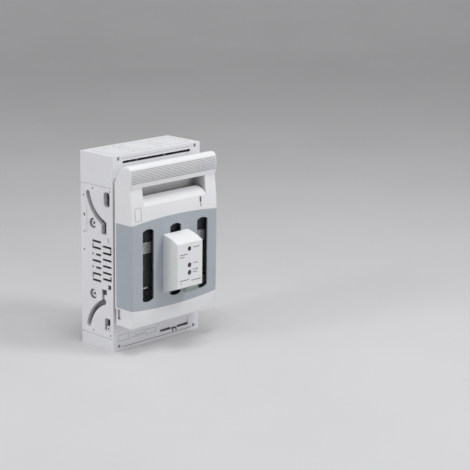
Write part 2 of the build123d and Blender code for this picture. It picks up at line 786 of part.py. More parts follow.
def lid_panel():
    panel = PANEL_REGION - windows_cut()
    for x in POLES:
        for side in (-1, 1):
            edge = x + side * WINDOW_WIDTH / 2
            tab = (edge - 0.35, edge + 0.35)
            low = PANEL_CENTRE - 7.0
            panel += block(tab, (LID_FRONT, LID_FRONT + PANEL_SHEET), (low, low + 9.0))
    return panel


GRIP_HALF = GRIP_WIDTH / 2
DECK_REAR = LID_FRONT + 2.3 + DECK_RISE
DECK_EDGE = (LID_FRONT + 1.1, DECK_HEIGHT)
DECK_TOP = (DECK_REAR, DECK_HEIGHT + DECK_RISE)
TROUGH_FLOOR = DECK_TOP[1] - TROUGH_DEPTH
FLOOR_LOW = TROUGH_FLOOR - DECK_SHEET
GRIP_WALL_REAR = LID_REAR - GRIP_WALL_SETBACK
GRIP_WALL_FRONT = GRIP_WALL_REAR - DECK_SHEET


def grip_fill():
    """Side view of what stays solid around the grip, before the finger pocket is cut."""
    start = LID_FRONT - 10.0
    return polygon(
        (start, DECK_HEIGHT - 16.0), (DECK_EDGE[0] + 1.2, FLOOR_LOW), (LID_REAR - 2.2, FLOOR_LOW),
        (LID_REAR - 2.2, HANDLE_TOP + 3), (start, HANDLE_TOP + 3),
    )


def deck_core():
    """The hollow under the middle of the deck, open from below."""
    half = GRIP_HALF - DECK_CORNER - DECK_SHEET
    rear = DECK_REAR - DECK_SHEET
    front = DECK_EDGE[0] + 6.0
    low = FLOOR_LOW - 1
    outline = polygon((front, low), (rear, low), (rear, DECK_TOP[1] - 5.5), (front, DECK_EDGE[1] + 1.0))
    return side_prism(outline, -half, half)


def finger_pocket():
    """The grip opening: crowned deck, trough behind it, hollow handle above."""
    start = LID_FRONT - 10.0
    top = WAIST_HEIGHT + 2.5
    wall = LID_FRONT + 8.3
    crown = (
        (DECK_EDGE[0] + DECK_TOP[0]) / 2 - 0.7 * DECK_CROWN,
        (DECK_EDGE[1] + DECK_TOP[1]) / 2 + 0.7 * DECK_CROWN,
    )
    corners = [
        DECK_TOP,
        (DECK_REAR, TROUGH_FLOOR),
        (GRIP_WALL_FRONT, TROUGH_FLOOR),
        (GRIP_WALL_FRONT, HANDLE_TOP - 15.0),
        (wall + 8.0, HANDLE_TOP - 9.0),
        (wall, HANDLE_TOP - 13.0),
        (wall, top),
        (start, top),
        (start, DECK_HEIGHT - 7.0),
        DECK_EDGE,
    ]
    lines = Curve() + [Line(a, b) for a, b in zip(corners, corners[1:])]
    lines += ThreePointArc(DECK_EDGE, crown, DECK_TOP)
    return side_prism(make_face(lines), -GRIP_HALF, GRIP_HALF)


def deck_corner():
    """The trough's turn round the right rear corner of the deck."""
    radius = DECK_CORNER
    x = GRIP_HALF - radius
    y = DECK_REAR - radius
    plan = Pos(x + radius / 2, y + radius / 2) * Rectangle(radius, radius)
    plan -= Pos(x, y) * Circle(radius)
    return Pos(0, 0, TROUGH_FLOOR) * extrude(plan, amount=DECK_TOP[1] - TROUGH_FLOOR + 4.0)


def rear_hollow():
    """The hollow behind the grip's rear wall."""
    return block(
        (-GRIP_HALF, GRIP_HALF), (GRIP_WALL_REAR, LID_REAR + 5), (FLOOR_LOW - 1, HANDLE_TOP - 18.0)
    )


def rib_grooves():
    """Shallow grooves that leave the handle's ribs, following the lid's own front line."""
    skin = lid_profile(0.0) - lid_profile(RIB_DEPTH)
    grooves = []
    for index in range(RIB_COUNT):
        z = HANDLE_TOP - RIB_START + index * RIB_PITCH
        strip = Pos(LID_FRONT, z) * Rectangle(2 * RIB_REACH, RIB_PITCH / 2)
        grooves.append(side_prism(skin & strip, -LID_HALF, LID_HALF))
    return grooves


def front_at(height):
    """How far back the lid's front face lies at a height between panel and waist."""
    share = (height - FLAT_TOP) / (WAIST_HEIGHT - FLAT_TOP)
    return LID_FRONT + WAIST_SETBACK * share ** 2


def front_recess(x, z, depth):
    """A shallow recess in the curved front between the panel and the grip."""
    low, high = z
    start = LID_FRONT - 1
    outline = polygon(
        (start, low), (front_at(low) + depth, low), (front_at(high) + depth, high), (start, high)
    )
    return side_prism(outline, *x)


def plate_field():
    """A bare plate field at the left, outlined by a groove."""
    x = (-84.6, -71.1)
    z = (73.0, 94.0)
    inner_x = (x[0] + 1.0, x[1] - 1.0)
    inner_z = (z[0] + 1.0, z[1] - 1.0)
    return front_recess(x, z, 0.6) - front_recess(inner_x, inner_z, 1.0)


def seal_slots():
    """A wide and a narrow slot for a seal, below the deck's right end."""
    top = DECK_HEIGHT - 2.0
    deep = (LID_FRONT - 1, LID_FRONT + 13.0)
    return [
        block((51.8, 55.8), deep, (top - 9.0, top)),
        block((53.4, 55.2), deep, (top - 15.5, top - 10.5)),
    ]


def hinge_boss():
    """The boss inside the lid's right wall: round for the hinge pin, square behind the flute."""
    wall = LID_HALF - LID_WALL
    x = (wall - BOSS_LENGTH, wall)
    pad = block(x, (LID_REAR - FLUTE[1] - 1.5, LID_REAR - FLUTE[0] + 1.5), (HINGE_Z, SKIRT_TOP))
    return pad + cross_rod(HINGE_EYE, *x, HINGE_Y, HINGE_Z)


def hinge_bore_and_notch():
    """The pin's bore in the right wall and the notch that clears the base's ear."""
    pin_end = LID_HALF - LID_WALL + 0.7
    bore = cross_rod(HINGE_PIN_RADIUS + FIT, 0, pin_end, HINGE_Y, HINGE_Z)
    ear_high = LID_HALF - LID_WALL - BOSS_LENGTH
    ear_low = ear_high - EAR_THICKNESS - 2 * EAR_PLAY
    front = HINGE_Y - HINGE_EYE - 1.0
    return bore + block((ear_low, ear_high), (front, LID_REAR + 1), (LID_LOW - 1, LID_LOW + LID_WALL + 1))


def window_rails(x):
    """Two rails and a stop on the lid's inner face that guide one window pane."""
    half = WINDOW_WIDTH / 2 + PANE_LAP + PANE_PLAY
    face = LID_FRONT + LID_WALL
    depth = PANE_PLAY * 2 + PANE_SHEET
    rear = face + depth + RAIL
    low = PANEL_CENTRE - WINDOW_HEIGHT / 2 - PANE_LAP
    high = low + WINDOW_HEIGHT + 2 * PANE_LAP + PANE_TRAVEL + 1.0
    parts = []
    for side in (-1, 1):
        inner = x + side * half
        outer = x + side * (half + RAIL)
        lipped = x + side * (half - RAIL_LIP)
        web = (min(inner, outer), max(inner, outer))
        flange = (min(lipped, outer), max(lipped, outer))
        parts.append(block(web, (face - 0.5, rear), (low, high)))
        parts.append(block(flange, (face + depth, rear), (low, high)))
    stop = (x - half - RAIL, x + half + RAIL)
    parts.append(block(stop, (face - 0.5, rear), (low - RAIL, low - PANE_PLAY)))
    return parts


def lid_frame():
    inner = LID_HALF - LID_WALL
    cavity = lid_solid(LID_WALL, 0.0)
    cavity += block((-inner, inner), (LID_REAR - 8, LID_REAR + 1), (LID_LOW + LID_WALL, HANDLE_TOP - 32))
    fill_half = GRIP_HALF + CHEEK_WALL
    frame = LID_OUTER - (cavity - side_prism(grip_fill(), -fill_half, fill_half))
    frame -= finger_pocket()
    frame -= both_sides(deck_corner())
    frame -= deck_core()
    frame -= rear_hollow()
    frame -= PANEL_REGION
    frame -= windows_cut()
    frame -= rib_grooves()
    for x in POLES:
        frame += window_rails(x)
    frame += both_sides(hinge_boss())
    skirt = block((SKIRT_HALF, LID_HALF + 1), (-SPAN, SPAN), (LID_LOW - 1, SKIRT_TOP))
    flute = block(
        (SKIRT_HALF - FLUTE_DEPTH, LID_HALF),
        (LID_REAR - FLUTE[1], LID_REAR - FLUTE[0]),
        (HINGE_Z + HINGE_PIN_RADIUS + 1.0, SKIRT_TOP - 1.0),
    )
    frame -= both_sides(skirt + flute)
    frame -= both_sides(hinge_bore_and_notch())
    return frame - seal_slots() - plate_field()


def hinge_pins():
    """Two pins, held in the lid and turning in the base's ears."""
    high = LID_HALF - LID_WALL + 0.6
    low = LID_HALF - LID_WALL - BOSS_LENGTH - EAR_PLAY - EAR_THICKNESS
    pin = cross_rod(HINGE_PIN_RADIUS, low, high, HINGE_Y, HINGE_Z)
    return [pin, mirror(pin, about=Plane.YZ)]


def window_pane(x):
    """A clear pane with a finger ridge and two test holes in front of the fuse's lugs."""
    half = WINDOW_WIDTH / 2 + PANE_LAP
    tall = WINDOW_HEIGHT / 2 + PANE_LAP
    front = LID_FRONT + LID_WALL + PANE_PLAY
    z = PANEL_CENTRE
    pane = block((x - half, x + half), (front, front + PANE_SHEET), (z - tall, z + tall))
    pane += block((x - 5, x + 5), (front - 1.2, front), (z - 46, z - 44.5))
    lug = FUSE_LENGTH / 2 + END_PLATE / 2
    for hole in (-lug, lug):
        pane -= rod(TEST_HOLE_RADIUS, front - 1, front + PANE_SHEET + 1, x, hole)
    return pane


# Fuse links and their carrier

CARRIER_SHEET = 2.7
CARRIER_FRONT = FUSE_FRONT - CARRIER_SHEET
CARRIER_OPENING = FUSE_WIDTH - 5.0
HOOK_SHEET = 3.0
HOOK_DEPTH = 10.0
HOOK_X = (CARRIER_OPENING / 2 - 4.0, CARRIER_OPENING / 2 + 2.0)
LUG_HALF = 6.0
LUG_REACH = 5.0
LUG_PLAY = 1.5


def fuse_carrier():
    """The dark inner moulding: a plate in front of the fuses with hooks round their lugs."""
    half = LID_HALF - LID_WALL
    low = PANEL_CENTRE - PANEL_EDGE_HEIGHT / 2
    carrier = block((-half, half), (CARRIER_FRONT, FUSE_FRONT), (low, FLOOR_LOW))
    view = (PANEL_CENTRE - WINDOW_HEIGHT / 2, FUSE_END + LUG_PLAY)
    for x in POLES:
        opening = (x - CARRIER_OPENING / 2, x + CARRIER_OPENING / 2)
        carrier -= block(opening, (CARRIER_FRONT - 1, FUSE_FRONT + 1), view)
        for side in (-1, 1):
            hook_z = sorted((side * FUSE_END, side * (FUSE_END + HOOK_SHEET)))
            for edge in (-1, 1):
                hook_x = sorted((x + edge * HOOK_X[0], x + edge * HOOK_X[1]))
                carrier += block(hook_x, (FUSE_FRONT - 0.5, FUSE_FRONT + HOOK_DEPTH), hook_z)
    return carrier


def fuse_body(x):
    half = FUSE_WIDTH / 2
    body = block(
        (x - half, x + half), (FUSE_FRONT, FUSE_FRONT + FUSE_DEPTH), (-FUSE_LENGTH / 2, FUSE_LENGTH / 2)
    )
    return fillet(body.edges().filter_by(Axis.Z), FUSE_EDGE)


def fuse_end_plate(x):
    """The upper end plate with its gripping lug at the front."""
    half = FUSE_WIDTH / 2 - 1.0
    z = (FUSE_LENGTH / 2, FUSE_END)
    plate = block((x - half, x + half), (FUSE_FRONT + 1.0, FUSE_FRONT + FUSE_DEPTH - 1.0), z)
    plate = fillet(plate.edges().filter_by(Axis.Z), FUSE_EDGE - 0.5)
    return plate + block((x - LUG_HALF, x + LUG_HALF), (FUSE_FRONT - LUG_REACH, FUSE_FRONT + 2.0), z)


def fuse_blade(x):
    """The upper blade, with its leading edge chamfered."""
    half = BLADE_THICKNESS / 2
    front = FRONT - BLADE_PROUD
    blade = block((x - half, x + half), (front, front + BLADE_DEPTH), (FUSE_END, BLADE_TIP))
    edges = blade.edges().filter_by(Axis.Z).group_by(Axis.Y)[-1]
    return chamfer(edges, 1.2)


# Fuse monitor

MONITOR_LEFT = MONITOR_SHIFT - MONITOR_WIDTH / 2
MONITOR_RIGHT = MONITOR_SHIFT + MONITOR_WIDTH / 2
MONITOR_NOSE = LID_FRONT - MONITOR_DEPTH
BACK_PLATE = 2.0
BOARD_REAR = LID_FRONT - BACK_PLATE - BOARD_STANDOFF
BOARD_FRONT = BOARD_REAR - BOARD_SHEET
BOARD_POST_X = BOARD_WIDTH / 2 - 4.0
BOARD_POST_Z = BOARD_HEIGHT / 2 - 5.0
SWITCH_FRONT = MONITOR_NOSE + 9.0
BUTTON_AT = (-1.5, 24.5)
RED_AT = (-1.2, -1.2)
GREEN_AT = (-1.0, -13.0)
PLUG_X = (1.0, 25.0)
PLUG_FRONT = BOARD_FRONT - 11.0
PLUG_LOW = MONITOR_BACK[0] - 0.3
PLUG_HIGH = MONITOR_FRONT[0] + 2.5
SOCKET_HIGH = PLUG_HIGH + 9.0
PLUG_WAYS = 4
WELL_Z = PLUG_LOW + 3.5
WELL_DEPTH = 1.2


def monitor_profile():
    """Side view of the monitor as (y, z): domed sloping top, upright front, sloping underside."""
    back_low, back_high = MONITOR_BACK
    front_low, front_high = MONITOR_FRONT
    dome = ((LID_FRONT + MONITOR_NOSE) / 2, (back_high + front_high) / 2 + 1.5)
    lines = Curve() + [
        Line((LID_FRONT, back_low), (MONITOR_NOSE, front_low)),
        Line((MONITOR_NOSE, front_low), (MONITOR_NOSE, front_high)),
        ThreePointArc((MONITOR_NOSE, front_high), dome, (LID_FRONT, back_high)),
        Line((LID_FRONT, back_high), (LID_FRONT, back_low)),
    ]
    return make_face(lines)


def monitor_cover():
    cover = side_prism(monitor_profile(), MONITOR_LEFT, MONITOR_RIGHT)
    front_edges = [
        edge
        for edge in cover.edges()
        if edge.center().Y < LID_FRONT - 3.0
    ]
    cover = fillet(front_edges, 1.2)
    hollow = side_prism(
        drawn_in(monitor_profile(), MONITOR_WALL),
        MONITOR_LEFT + MONITOR_WALL,
        MONITOR_RIGHT - MONITOR_WALL,
    )
    back = block(
        (MONITOR_LEFT + MONITOR_WALL, MONITOR_RIGHT - MONITOR_WALL),
        (LID_FRONT - 2 * MONITOR_WALL, LID_FRONT + 1),
        (MONITOR_BACK[0] + 2 * MONITOR_WALL, MONITOR_BACK[1] - 2 * MONITOR_WALL),
    )
    cover -= hollow + back
    for (x, z), radius in (
        (BUTTON_AT, BUTTON_RADIUS), (RED_AT, LED_RADIUS), (GREEN_AT, LED_RADIUS)
    ):
        cover -= rod(radius + 0.08, MONITOR_NOSE - 1, MONITOR_NOSE + MONITOR_WALL + 1, x, z)
    gap = (PLUG_X[0] - 0.4, PLUG_X[1] + 0.4)
    cover -= block(gap, (PLUG_FRONT - 0.4, BOARD_FRONT + 0.4), (PLUG_LOW - 3, SOCKET_HIGH))
    return cover


def monitor_back():
    """The plate that closes the monitor behind, with four posts for the board."""
    width = (MONITOR_LEFT + MONITOR_WALL, MONITOR_RIGHT - MONITOR_WALL)
    height = (MONITOR_BACK[0] + 2 * MONITOR_WALL, MONITOR_BACK[1] - 2 * MONITOR_WALL)
    plate = block(width, (LID_FRONT - BACK_PLATE, LID_FRONT), height)
    for x in (MONITOR_SHIFT - BOARD_POST_X, MONITOR_SHIFT + BOARD_POST_X):
        for z in (-BOARD_POST_Z, BOARD_POST_Z):
            plate += rod(2.5, BOARD_REAR, LID_FRONT - BACK_PLATE, x, z)
    return plate


def monitor_board():
    """The circuit board with its switch, coupler, capacitor and relay."""
    x = MONITOR_SHIFT
    half = BOARD_WIDTH / 2
    board = block((x - half, x + half), (BOARD_FRONT, BOARD_REAR), (-BOARD_HEIGHT / 2, BOARD_HEIGHT / 2))
    button_x, button_z = BUTTON_AT
    board += block(
        (button_x - 3, button_x + 3), (SWITCH_FRONT, BOARD_FRONT), (button_z - 3, button_z + 3)
    )
    coupler = (x - half + 3.0, x - half + 11.0)
    board += block(coupler, (BOARD_FRONT - 3.5, BOARD_FRONT), (-8, 3))
    board += rod(4.0, BOARD_FRONT - 10.0, BOARD_FRONT, x - half + 7.6, -20)
    return board + block((x + half - 13.0, x + half - 4.0), (BOARD_FRONT - 6.0, BOARD_FRONT), (4, 20))


def led(place):
    """A lamp on its spacer, standing on the board and just proud of the cover."""
    x, z = place
    body = rod(LED_RADIUS, MONITOR_NOSE + 0.6, BOARD_FRONT, x, z)
    dome = Pos(x, MONITOR_NOSE + 0.6, z) * Sphere(LED_RADIUS)
    return body + (dome & block((-SPAN, SPAN), (-SPAN, MONITOR_NOSE + 0.6), (-SPAN, SPAN)))


def test_button():
    x, z = BUTTON_AT
    rear = SWITCH_FRONT - BUTTON_TRAVEL - 0.2
    return rod(BUTTON_RADIUS, MONITOR_NOSE + 0.3, rear, x, z)


def plug_socket():
    return block(PLUG_X, (PLUG_FRONT, BOARD_FRONT), (PLUG_HIGH, SOCKET_HIGH))


def way_places():
    """Middle of each way of the plug."""
    step = (PLUG_X[1] - PLUG_X[0]) / PLUG_WAYS
    return [PLUG_X[0] + step * (index + 0.5) for index in range(PLUG_WAYS)]


def terminal_plug():
    """The green plug: wire entries below, screw wells in front."""
    plug = block(PLUG_X, (PLUG_FRONT, BOARD_FRONT), (PLUG_LOW, PLUG_HIGH))
    entry = (BOARD_FRONT - 6.0, BOARD_FRONT - 2.0)
    for x in way_places():
        plug -= block((x - 1.6, x + 1.6), entry, (PLUG_LOW - 1, PLUG_LOW + 6))
        plug -= rod(1.7, PLUG_FRONT - 1, PLUG_FRONT + WELL_DEPTH, x, WELL_Z)
    return plug


def plug_screws():
    """One clamping screw in each well of the plug."""
    screws = []
    for x in way_places():
        head = rod(1.6, PLUG_FRONT + 0.3, PLUG_FRONT + WELL_DEPTH, x, WELL_Z)
        drive = block((x - 1.5, x + 1.5), (PLUG_FRONT, PLUG_FRONT + 0.7), (WELL_Z - 0.3, WELL_Z + 0.3))
        screws.append(head - drive)
    return screws


def build():
    save(base_housing(), "base_housing")
    save(top_terminal_cover(), "top_terminal_cover")
    save(bottom_terminal_cover(), "bottom_terminal_cover")
    save_group(cover_screws(), "cover_screws")
    for number, x in enumerate(POLES, start=1):
        for half, turn in (("top", lambda shape: shape), ("bottom", upside_down)):
            name = f"{half}_{number}"
            save(turn(contact_jaw(x)), f"contact_jaw_{name}")
            save(turn(jaw_spring(x)), f"jaw_spring_{name}")
            save(turn(terminal_bar(x)), f"terminal_bar_{name}")
            save_group([turn(plate) for plate in splitter_plates(x)], f"splitter_plates_{name}")
    for maker, name in (
        (contact_rivet, "contact_rivets"),
        (terminal_bolt, "terminal_bolts"),
        (terminal_nut, "terminal_nuts"),
    ):
        upper = [maker(x) for x in POLES]
        save_group(upper + [upside_down(shape) for shape in upper], name)
    save(lid_frame(), "lid_frame")
    save(lid_panel(), "lid_panel")
    save(fuse_carrier(), "fuse_carrier")
    save_group(hinge_pins(), "hinge_pins")
    for number, x in enumerate(POLES, start=1):
        save(window_pane(x), f"window_{number}")
        save(fuse_body(x), f"fuse_body_{number}")
        for maker, name in ((fuse_end_plate, "fuse_end_plates"), (fuse_blade, "fuse_blades")):
            shape = maker(x)
            save_group([shape, upside_down(shape)], f"{name}_{number}")
    save(monitor_cover(), "monitor_cover")
    save(monitor_back(), "monitor_back")
    save(monitor_board(), "monitor_board")
    save(led(RED_AT), "led_red")
    save(led(GREEN_AT), "led_green")
    save(test_button(), "test_button")
    save(plug_socket(), "plug_socket")
    save(terminal_plug(), "terminal_plug")
    save_group(plug_screws(), "plug_screws")


build()
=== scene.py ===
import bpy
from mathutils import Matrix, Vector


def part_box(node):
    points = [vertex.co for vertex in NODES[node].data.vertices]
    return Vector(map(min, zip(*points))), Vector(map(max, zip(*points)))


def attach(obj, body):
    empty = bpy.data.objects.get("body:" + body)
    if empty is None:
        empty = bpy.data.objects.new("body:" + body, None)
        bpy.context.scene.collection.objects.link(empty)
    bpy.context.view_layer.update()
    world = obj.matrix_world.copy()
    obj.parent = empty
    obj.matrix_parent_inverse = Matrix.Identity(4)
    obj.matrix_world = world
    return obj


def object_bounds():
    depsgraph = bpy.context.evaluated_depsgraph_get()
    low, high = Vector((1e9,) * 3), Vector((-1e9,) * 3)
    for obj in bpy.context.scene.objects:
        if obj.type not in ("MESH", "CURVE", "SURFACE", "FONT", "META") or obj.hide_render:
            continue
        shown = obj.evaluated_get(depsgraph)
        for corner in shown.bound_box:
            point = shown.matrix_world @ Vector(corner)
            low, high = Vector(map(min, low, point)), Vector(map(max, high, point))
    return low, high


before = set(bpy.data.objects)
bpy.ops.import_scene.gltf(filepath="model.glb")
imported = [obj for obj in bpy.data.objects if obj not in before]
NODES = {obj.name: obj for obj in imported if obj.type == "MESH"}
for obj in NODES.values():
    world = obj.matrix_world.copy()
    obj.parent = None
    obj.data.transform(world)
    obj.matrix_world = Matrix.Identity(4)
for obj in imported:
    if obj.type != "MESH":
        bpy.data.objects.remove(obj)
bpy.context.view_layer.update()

# Looks, print, camera, floor and light for a fuse switch disconnector.
# Lengths are millimetres in the part's frame, and places of lamps and camera are metres.

import math
import random

import bmesh
import bpy
from mathutils import Vector

MM = 0.001


def front_of(node):
    """Where a node's foremost face lies."""
    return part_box(node)[0].y / MM


def middle_of(node):
    """The middle of a node from left to right."""
    low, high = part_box(node)
    return (low.x + high.x) / 2 / MM


POLE_MIDDLES = [middle_of(f"fuse_body_{number}") for number in (1, 2, 3)]
LID_FRONT = front_of("lid_panel")
FUSE_FRONT = front_of("fuse_body_1")
MONITOR_FRONT = front_of("monitor_cover")


# Materials

class Shader:
    """A node material built up step by step around one Principled shader."""

    def __init__(self, name):
        self.material = bpy.data.materials.new(name)
        self.material.use_nodes = True
        self.nodes = self.material.node_tree.nodes
        self.links = self.material.node_tree.links
        self.main = self.nodes["Principled BSDF"]
        self.coord = self.nodes.new("ShaderNodeTexCoord").outputs["Object"]

    def noise(self, scale, detail=4.0, roughness=0.5, stretch=(1, 1, 1)):
        mapping = self.nodes.new("ShaderNodeMapping")
        mapping.inputs["Scale"].default_value = stretch
        self.links.new(self.coord, mapping.inputs["Vector"])
        node = self.nodes.new("ShaderNodeTexNoise")
        node.inputs["Scale"].default_value = scale
        node.inputs["Detail"].default_value = detail
        node.inputs["Roughness"].default_value = roughness
        self.links.new(mapping.outputs["Vector"], node.inputs["Vector"])
        return node.outputs["Fac"]

    def ramp(self, value, low, high, band=(0.3, 0.7)):
        """Runs from low to high over a band of the value; each is one number or three."""
        node = self.nodes.new("ShaderNodeValToRGB")
        for element, place, colour in zip(node.color_ramp.elements, band, (low, high)):
            colour = (colour,) * 3 if isinstance(colour, (int, float)) else colour
            element.position = place
            element.color = (*colour, 1.0)
        self.links.new(value, node.inputs["Fac"])
        return node.outputs["Color"]

    def put(self, value, socket):
        """Sets a socket to a number or a colour, or links it to another node's output."""
        if isinstance(value, (int, float)):
            socket.default_value = value
        elif isinstance(value, tuple):
            socket.default_value = (*value, 1.0)
        else:
            self.links.new(value, socket)

    def mix(self, share, first, second, blend="MIX"):
        node = self.nodes.new("ShaderNodeMix")
        node.data_type = "RGBA"
        node.blend_type = blend
        self.put(share, node.inputs["Factor"])
        colours = [socket for socket in node.inputs if socket.type == "RGBA"]
        self.put(first, colours[0])
        self.put(second, colours[1])
        return [socket for socket in node.outputs if socket.type == "RGBA"][0]

    def maths(self, kind, first, second=0.0):
        node = self.nodes.new("ShaderNodeMath")
        node.operation = kind
        self.put(first, node.inputs[0])
        self.put(second, node.inputs[1])
        return node.outputs["Value"]

    def paint_hollow_shade(self, colour, reach, depth):
        """Paints shade into a colour: darker in grooves and deep corners, where the part itself closes round
        them.
        """
        node = self.nodes.new("ShaderNodeAmbientOcclusion")
        node.samples = 8
        node.only_local = True
        node.inputs["Distance"].default_value = reach * MM
        shade = self.ramp(node.outputs["AO"], 1.0 - depth, 1.0, band=(0.15, 0.56))
        return self.mix(1.0, colour, shade, blend="MULTIPLY")

    def within(self, box, outside, inside):
        """Gives the faces inside a box of the part's frame another colour."""
        split = self.nodes.new("ShaderNodeSeparateXYZ")
        self.links.new(self.coord, split.inputs["Vector"])
        share = 1.0
        for axis, (low, high) in enumerate(box):
            offset = self.maths("SUBTRACT", split.outputs[axis], (low + high) / 2 * MM)
            near = self.maths("LESS_THAN", self.maths("ABSOLUTE", offset), (high - low) / 2 * MM)
            share = self.maths("MULTIPLY", share, near)
        return self.mix(share, outside, inside)

    def colour(self, value):
        self.links.new(value, self.main.inputs["Base Color"])

    def rough(self, value):
        self.links.new(value, self.main.inputs["Roughness"])

    def bump(self, value, strength, distance):
        """Adds a relief of so many millimetres on top of any that is there."""
        node = self.nodes.new("ShaderNodeBump")
        node.inputs["Strength"].default_value = strength
        node.inputs["Distance"].default_value = distance * MM
        self.links.new(value, node.inputs["Height"])
        normal = self.main.inputs["Normal"]
        if normal.is_linked:
            self.links.new(normal.links[0].from_socket, node.inputs["Normal"])
        self.links.new(node.outputs["Normal"], normal)

    def set(self, **values):
        for name, value in values.items():
            self.main.inputs[name.replace("_", " ")].default_value = value


def scaled(colour, factor):
    return tuple(min(1.0, channel * factor) for channel in colour)


def varied(shader, pattern, colour, spread, band=(0.3, 0.7)):
    """The colour, darker and lighter by the spread as the pattern goes."""
    return shader.ramp(pattern, scaled(colour, 1.0 - spread), scaled(colour, 1.0 + spread), band)


# The rails and openings behind the panel get painted shade: the white moulding there is coloured near-black
INSIDE_HALF = 84.0
INSIDE_DEPTHS = (1.7, 60.0)
INSIDE_HEIGHTS = (-62.0, 65.0)
BEHIND_PANEL = (
    (-INSIDE_HALF, INSIDE_HALF),
    (LID_FRONT + INSIDE_DEPTHS[0], LID_FRONT + INSIDE_DEPTHS[1]),
    INSIDE_HEIGHTS,
)
PAINTED_SHADE_INSIDE = (0.03, 0.031, 0.034)


def moulded(
    name, colour, spread=0.035, grain=0.25, grain_scale=1500.0, rough=(0.42, 0.55), hollow_shade=None, painted_shade_box=None
):
    """Moulded plastic: faint clouding in the colour, uneven gloss and a fine eroded grain.

    The grooves can get painted shade of a given reach and depth, and faces inside a given box are painted
    near-black as shade."""
    shader = Shader(name)
    clouds = shader.noise(scale=28.0, detail=5.0, roughness=0.55)
    flow = shader.noise(scale=9.0, detail=3.0, roughness=0.6, stretch=(1.0, 1.0, 0.35))
    pattern = shader.maths("ADD", shader.maths("MULTIPLY", clouds, 0.6), shader.maths("MULTIPLY", flow, 0.4))
    tint = varied(shader, pattern, colour, spread, band=(0.34, 0.66))
    # faces inside the box are painted near-black, as shade
    if painted_shade_box:
        tint = shader.within(painted_shade_box, tint, PAINTED_SHADE_INSIDE)
    # painted shade in grooves and deep corners
    if hollow_shade:
        tint = shader.paint_hollow_shade(tint, *hollow_shade)
    shader.colour(tint)
    shader.rough(shader.ramp(shader.noise(scale=60.0), *rough))
    shader.bump(shader.noise(scale=grain_scale, detail=3.0, roughness=0.6), strength=grain, distance=0.06)
    shader.bump(shader.noise(scale=14.0, detail=2.0), strength=0.12, distance=0.5)
    return shader.material


def metal(name, colour, rough=(0.25, 0.4), brushed=(1, 1, 12)):
    """Plated metal with fine draw lines and patchy tarnish."""
    shader = Shader(name)
    shader.set(Metallic=1.0)
    tarnish = shader.noise(scale=45.0, detail=6.0, roughness=0.6)
    shader.colour(varied(shader, tarnish, colour, spread=0.12))
    lines = shader.noise(scale=220.0, detail=3.0, stretch=brushed)
    shader.rough(shader.ramp(lines, *rough))
    shader.bump(lines, strength=0.2, distance=0.05)
    return shader.material


def circuit_board():
    """Solder mask over tracks that stand up a little and are lighter."""
    shader = Shader("circuit_board")
    tracks = shader.noise(scale=320.0, detail=1.0, roughness=0.3, stretch=(1, 1, 0.25))
    shader.colour(shader.ramp(tracks, (0.012, 0.09, 0.045), (0.03, 0.17, 0.08), band=(0.47, 0.52)))
    shader.rough(shader.ramp(tracks, 0.22, 0.35, band=(0.45, 0.55)))
    shader.bump(tracks, strength=0.3, distance=0.1)
    return shader.material


def lamp_lens(name, colour):
    """A tinted lens: clear-coated, slightly uneven inside."""
    shader = Shader(name)
    inside = shader.noise(scale=700.0, detail=3.0)
    shader.colour(shader.ramp(inside, scaled(colour, 0.55), scaled(colour, 1.3)))
    shader.rough(shader.ramp(shader.noise(scale=400.0), 0.08, 0.18))
    shader.set(Coat_Weight=0.6, Coat_Roughness=0.05)
    return shader.material


def window_pane():
    """A clear moulded pane: mostly see-through, faintly smoky, with scuffs in its gloss."""
    shader = Shader("window_clear")
    haze = shader.noise(scale=90.0, detail=5.0, roughness=0.6)
    shader.colour(shader.ramp(haze, (0.02, 0.022, 0.025), (0.035, 0.038, 0.042)))
    shader.rough(shader.ramp(haze, 0.04, 0.14, band=(0.35, 0.7)))
    shader.links.new(shader.ramp(haze, 0.07, 0.11), shader.main.inputs["Alpha"])
    shader.bump(shader.noise(scale=25.0, detail=2.0), strength=0.05, distance=0.2)
    return shader.material


def printed_label():
    """Coated paper on a fuse link, slightly yellowed in patches."""
    shader = Shader("fuse_label")
    age = shader.noise(scale=70.0, detail=5.0, roughness=0.6)
    shader.colour(shader.ramp(age, (0.80, 0.81, 0.82), (0.88, 0.88, 0.87)))
    shader.rough(shader.ramp(shader.noise(scale=300.0, detail=3.0), 0.45, 0.65))
    shader.bump(shader.noise(scale=900.0, detail=3.0), strength=0.2, distance=0.04)
    return shader.material


# White and cover plastic get painted shade in their hollows; the white is also painted near-black behind the
# panel as shade
WHITE = moulded(
    "white_plastic", (0.76, 0.765, 0.78), spread=0.02, hollow_shade=(32.0, 0.6), painted_shade_box=BEHIND_PANEL
)
COVER = moulded("cover_plastic", (0.745, 0.75, 0.77), spread=0.025, grain=0.3, hollow_shade=(12.0, 0.82))
GREY = moulded("grey_plastic", (0.385, 0.415, 0.46), grain=0.35, rough=(0.38, 0.52))
MONITOR = moulded("monitor_plastic", (0.76, 0.765, 0.775), spread=0.02, grain=0.3, rough=(0.45, 0.6))
DARK = moulded("dark_plastic", (0.016, 0.017, 0.019), spread=0.25, grain=0.35, rough=(0.4, 0.6))
CERAMIC = moulded(
    "fuse_ceramic", (0.036, 0.034, 0.034), spread=0.2, grain=0.5, grain_scale=900.0, rough=(0.35, 0.55)
)
PLUG = moulded("plug_green", (0.30, 0.40, 0.34), spread=0.08, grain=0.3, rough=(0.4, 0.55))
BUTTON = moulded("button_black", (0.008, 0.008, 0.009), spread=0.2, grain=0.4, rough=(0.6, 0.75))
PRINT = moulded("print_grey", (0.10, 0.105, 0.11), spread=0.15, grain=0.1, rough=(0.5, 0.7))
SILVER = metal("silver_plate", (0.66, 0.65, 0.62))
ZINC = metal("zinc_plate", (0.40, 0.41, 0.43), rough=(0.3, 0.5), brushed=(1, 1, 1))
